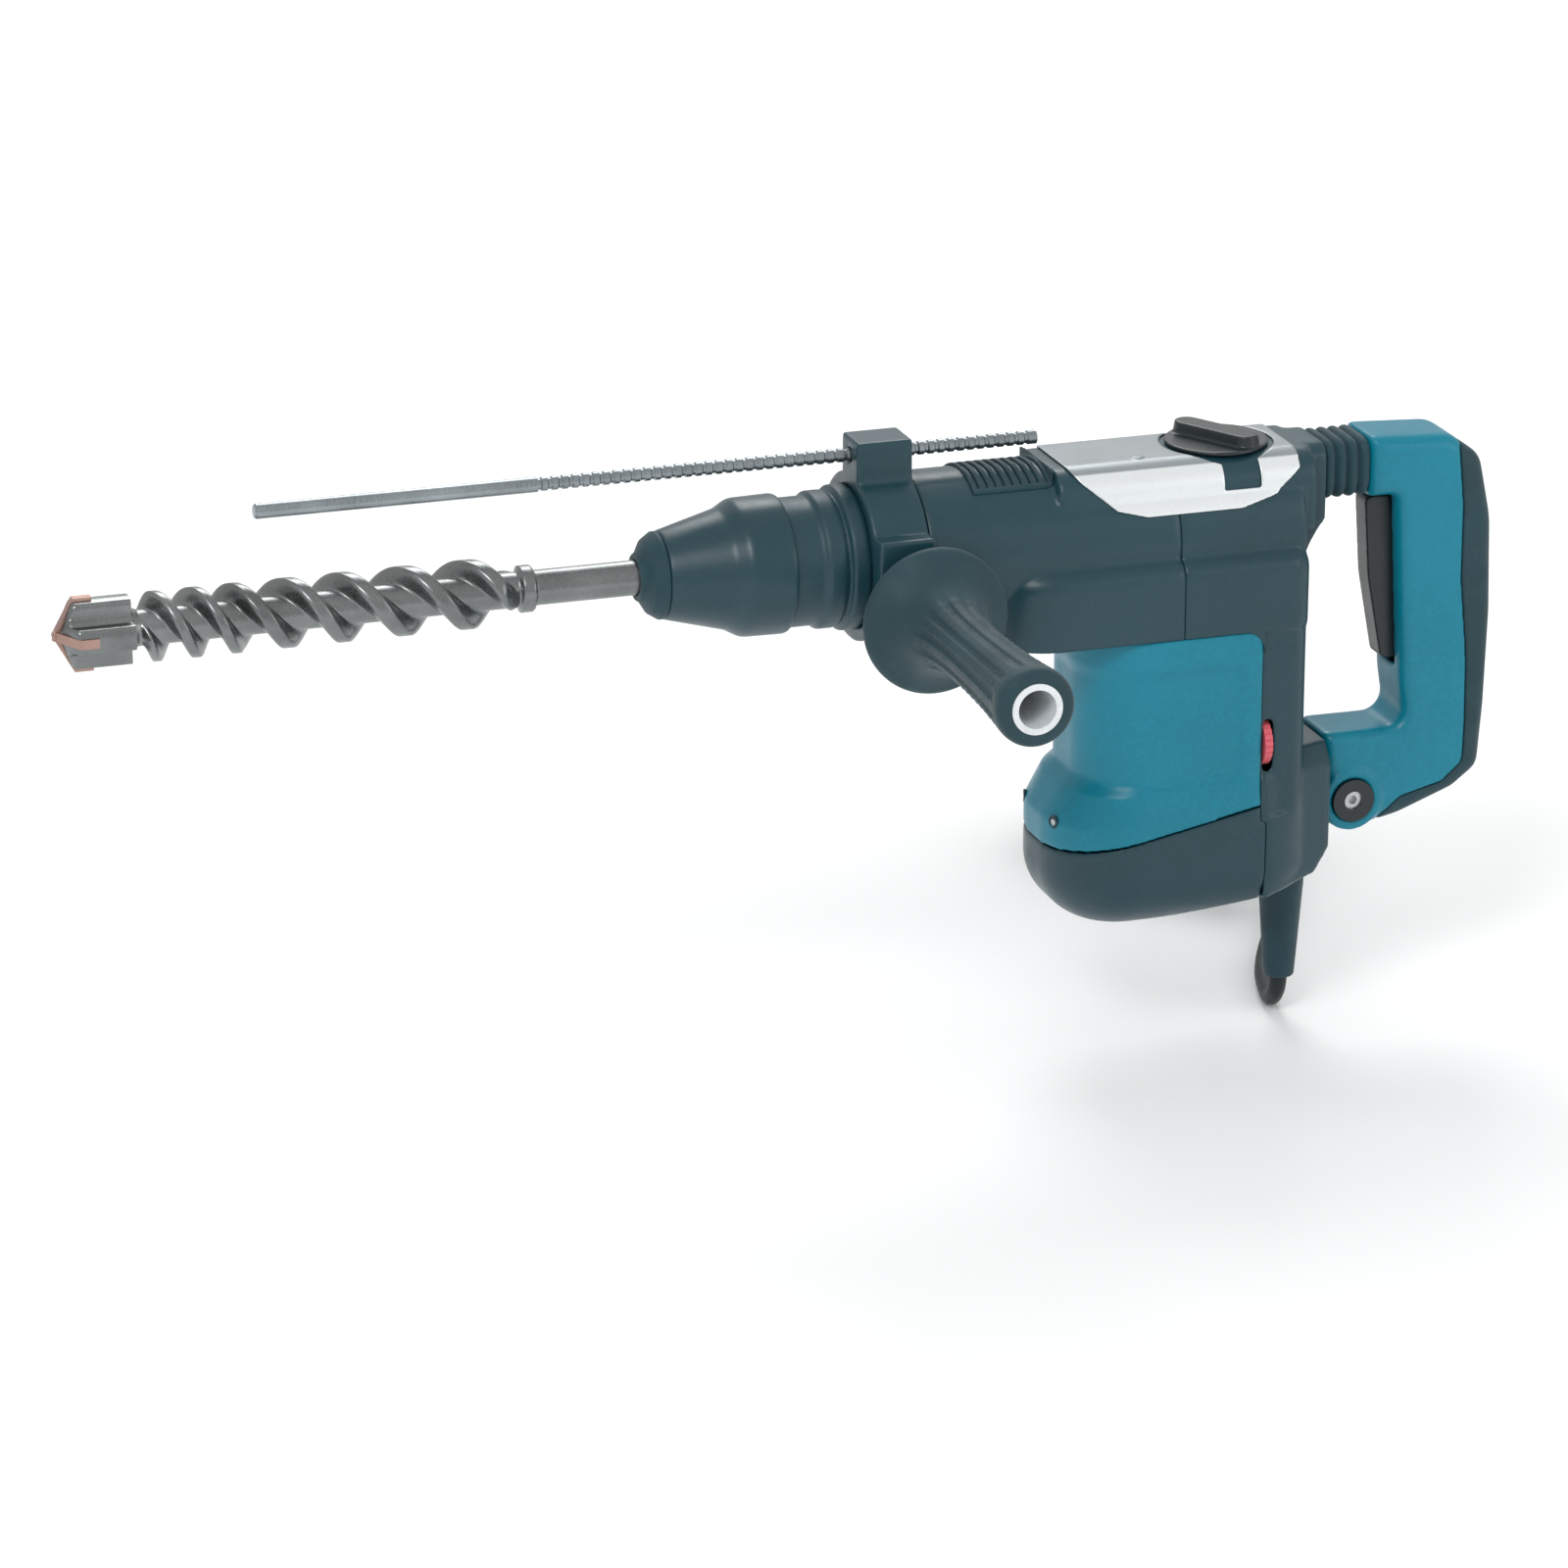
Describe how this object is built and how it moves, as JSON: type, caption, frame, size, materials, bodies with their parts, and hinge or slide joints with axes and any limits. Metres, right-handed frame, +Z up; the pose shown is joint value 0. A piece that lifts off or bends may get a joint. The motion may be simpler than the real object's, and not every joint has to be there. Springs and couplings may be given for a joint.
{
  "type": "rotary hammer",
  "caption": "Corded rotary hammer with vertical motor, D handle, side handle with depth rod, and a slotted-shank drill bit in its holder.",
  "frame": {"origin": "on the tool axis, at the round collar in front of the side handle's band", "axes": "-X towards the drill bit, +X towards the rear handle, +Z up, +Y to the operator's right"},
  "size_m": [0.7665, 0.542, 0.345],
  "materials": {
    "bit_steel": "satin, blasted",
    "carbide": "brazed, copper tinted",
    "steel": "ground",
    "rod_steel": "blued",
    "alloy": "cast",
    "dark_casting": "satin black",
    "core_iron": "laminated",
    "copper": "bare",
    "brass": "bare",
    "carbon": "matt",
    "teal_plastic": "fine texture",
    "dark_plastic": "fine texture",
    "knob_plastic": "smooth",
    "black_rubber": "matt",
    "grip_rubber": "textured",
    "cord_rubber": "matt",
    "white_plastic": "smooth",
    "red_plastic": "smooth",
    "silver_plate": "silver satin"
  },
  "bodies": {
    "housing": {"barrel_nose": "dark_casting", "front_bearing": "steel", "shaft_bearings": "steel", "stator_core": "core_iron", "field_coils": "copper", "brush_holders": "brass", "carbon_brushes": "carbon", "gear_case": "alloy", "motor_housing": "teal_plastic", "motor_cover": "dark_plastic", "cover_screws": "steel", "front_housing": "dark_plastic", "rear_housing": "dark_plastic", "top_plate": "silver_plate", "ridge_pad": "black_rubber", "speed_controller": "knob_plastic", "bellows": "black_rubber", "handle_spring": "steel", "pivot_pin": "steel", "cord_guard": "black_rubber", "cord_tube": "cord_rubber", "cord_coil": "cord_rubber", "plug": "cord_rubber", "plug_pins": "brass"},
    "spindle": {"tool_holder": "steel", "dust_cap": "black_rubber", "cylinder": "steel", "ring_gear": "steel", "release_spring": "steel"},
    "sleeve": {"release_sleeve": "dark_plastic"},
    "roller_left": {"lock_roller_left": "steel"},
    "roller_right": {"lock_roller_right": "steel"},
    "clutch": {"clutch_ring": "steel"},
    "bit": {"drill_bit": "bit_steel", "carbide_cross": "carbide"},
    "bolt": {"impact_bolt": "steel"},
    "striker": {"striker": "steel"},
    "piston": {"piston": "alloy"},
    "rod": {"connecting_rod": "alloy"},
    "crank": {"crankshaft": "steel", "crank_gear": "steel"},
    "counter": {"counter_shaft": "steel", "counter_gear": "steel"},
    "armature": {"armature_shaft": "steel", "armature_core": "core_iron", "commutator": "copper", "cooling_fan": "dark_plastic"},
    "knob": {"mode_knob": "knob_plastic"},
    "dial": {"speed_dial": "red_plastic"},
    "rear_handle": {"handle_shell": "teal_plastic", "handle_overmould": "grip_rubber", "pivot_bushes": "knob_plastic", "trigger_switch": "knob_plastic"},
    "trigger": {"trigger": "knob_plastic"},
    "side_handle": {"side_handle_base": "dark_plastic", "band_strap": "steel"},
    "side_grip": {"side_grip": "grip_rubber", "grip_liner": "white_plastic", "clamp_bolt": "steel"},
    "depth_rod": {"depth_rod": "rod_steel"}
  },
  "joints": [
    {"name": "armature_spin", "type": "hinge", "parent": "housing", "child": "armature", "pos_m": [0.165, 0, -0.12], "axis": [0, 0, 1], "continuous": true},
    {"name": "crank_spin", "type": "hinge", "parent": "housing", "child": "crank", "pos_m": [0.1975, 0, -0.04], "axis": [0, 0, 1], "continuous": true},
    {"name": "counter_spin", "type": "hinge", "parent": "housing", "child": "counter", "pos_m": [0.1325, 0, -0.04], "axis": [0, 0, 1], "continuous": true},
    {"name": "spindle_spin", "type": "hinge", "parent": "housing", "child": "spindle", "pos_m": [0, 0, 0], "axis": [1, 0, 0], "continuous": true},
    {"name": "rod_swing", "type": "hinge", "parent": "crank", "child": "rod", "pos_m": [0.2085, 0, 0], "axis": [0, 0, 1], "continuous": true},
    {"name": "piston_slide", "type": "slide", "parent": "housing", "child": "piston", "axis": [1, 0, 0], "range_m": [-0.022, 0]},
    {"name": "striker_slide", "type": "slide", "parent": "housing", "child": "striker", "axis": [1, 0, 0], "range_m": [0, 0.02]},
    {"name": "bolt_slide", "type": "slide", "parent": "housing", "child": "bolt", "axis": [1, 0, 0], "range_m": [-0.004, 0]},
    {"name": "bit_slide", "type": "slide", "parent": "spindle", "child": "bit", "axis": [1, 0, 0], "range_m": [-0.012, 0]},
    {"name": "sleeve_slide", "type": "slide", "parent": "spindle", "child": "sleeve", "axis": [1, 0, 0], "range_m": [0, 0.011], "stiffness_N_per_m": 1500, "springref_m": -0.006, "deforming": ["release_spring"]},
    {"name": "roller_left_slide", "type": "slide", "parent": "spindle", "child": "roller_left", "axis": [0, -1, 0], "range_m": [0, 0.0022]},
    {"name": "roller_right_slide", "type": "slide", "parent": "spindle", "child": "roller_right", "axis": [0, 1, 0], "range_m": [0, 0.0022]},
    {"name": "clutch_slide", "type": "slide", "parent": "spindle", "child": "clutch", "axis": [1, 0, 0], "range_m": [0, 0.006]},
    {"name": "mode_knob_turn", "type": "hinge", "parent": "housing", "child": "knob", "pos_m": [0.204, 0, 0.043], "axis": [0, 0, 1], "range_deg": [-180, 0]},
    {"name": "speed_dial_turn", "type": "hinge", "parent": "housing", "child": "dial", "pos_m": [0.218, -0.0355, -0.111], "axis": [1, 0, 0], "range_deg": [0, 270]},
    {"name": "handle_swing", "type": "hinge", "parent": "housing", "child": "rear_handle", "pos_m": [0.2777, 0, -0.156], "axis": [0, 1, 0], "range_deg": [-3, 0], "stiffness_Nm_per_rad": 150, "springref_deg": 1.72, "deforming": ["bellows", "handle_spring"]},
    {"name": "trigger_squeeze", "type": "hinge", "parent": "rear_handle", "child": "trigger", "pos_m": [0.2975, 0, 0.0015], "axis": [0, 1, 0], "range_deg": [-5, 0], "stiffness_Nm_per_rad": 6, "springref_deg": 3.44},
    {"name": "side_handle_turn", "type": "hinge", "parent": "housing", "child": "side_handle", "pos_m": [0.018, 0, 0], "axis": [1, 0, 0], "range_deg": [-90, 90]},
    {"name": "side_grip_turn", "type": "hinge", "parent": "side_handle", "child": "side_grip", "pos_m": [0.028, -0.1, -0.018], "axis": [0, -1, 0], "continuous": true},
    {"name": "depth_rod_slide", "type": "slide", "parent": "side_handle", "child": "depth_rod", "axis": [1, 0, 0], "range_m": [-0.07, 0.06]}
  ],
  "couplings": [
    {"joint": "crank_spin", "follows": "armature_spin", "ratio": -0.18182},
    {"joint": "counter_spin", "follows": "armature_spin", "ratio": -0.18182},
    {"joint": "rod_swing", "follows": "armature_spin", "ratio": 0.18182},
    {"joint": "spindle_spin", "follows": "armature_spin", "ratio": 0.048485},
    {"joint": "roller_left_slide", "follows": "sleeve_slide", "ratio": 0.2},
    {"joint": "roller_right_slide", "follows": "sleeve_slide", "ratio": 0.2},
    {"joint": "clutch_slide", "follows": "mode_knob_turn", "m_per_rad": -0.001878}
  ]
}
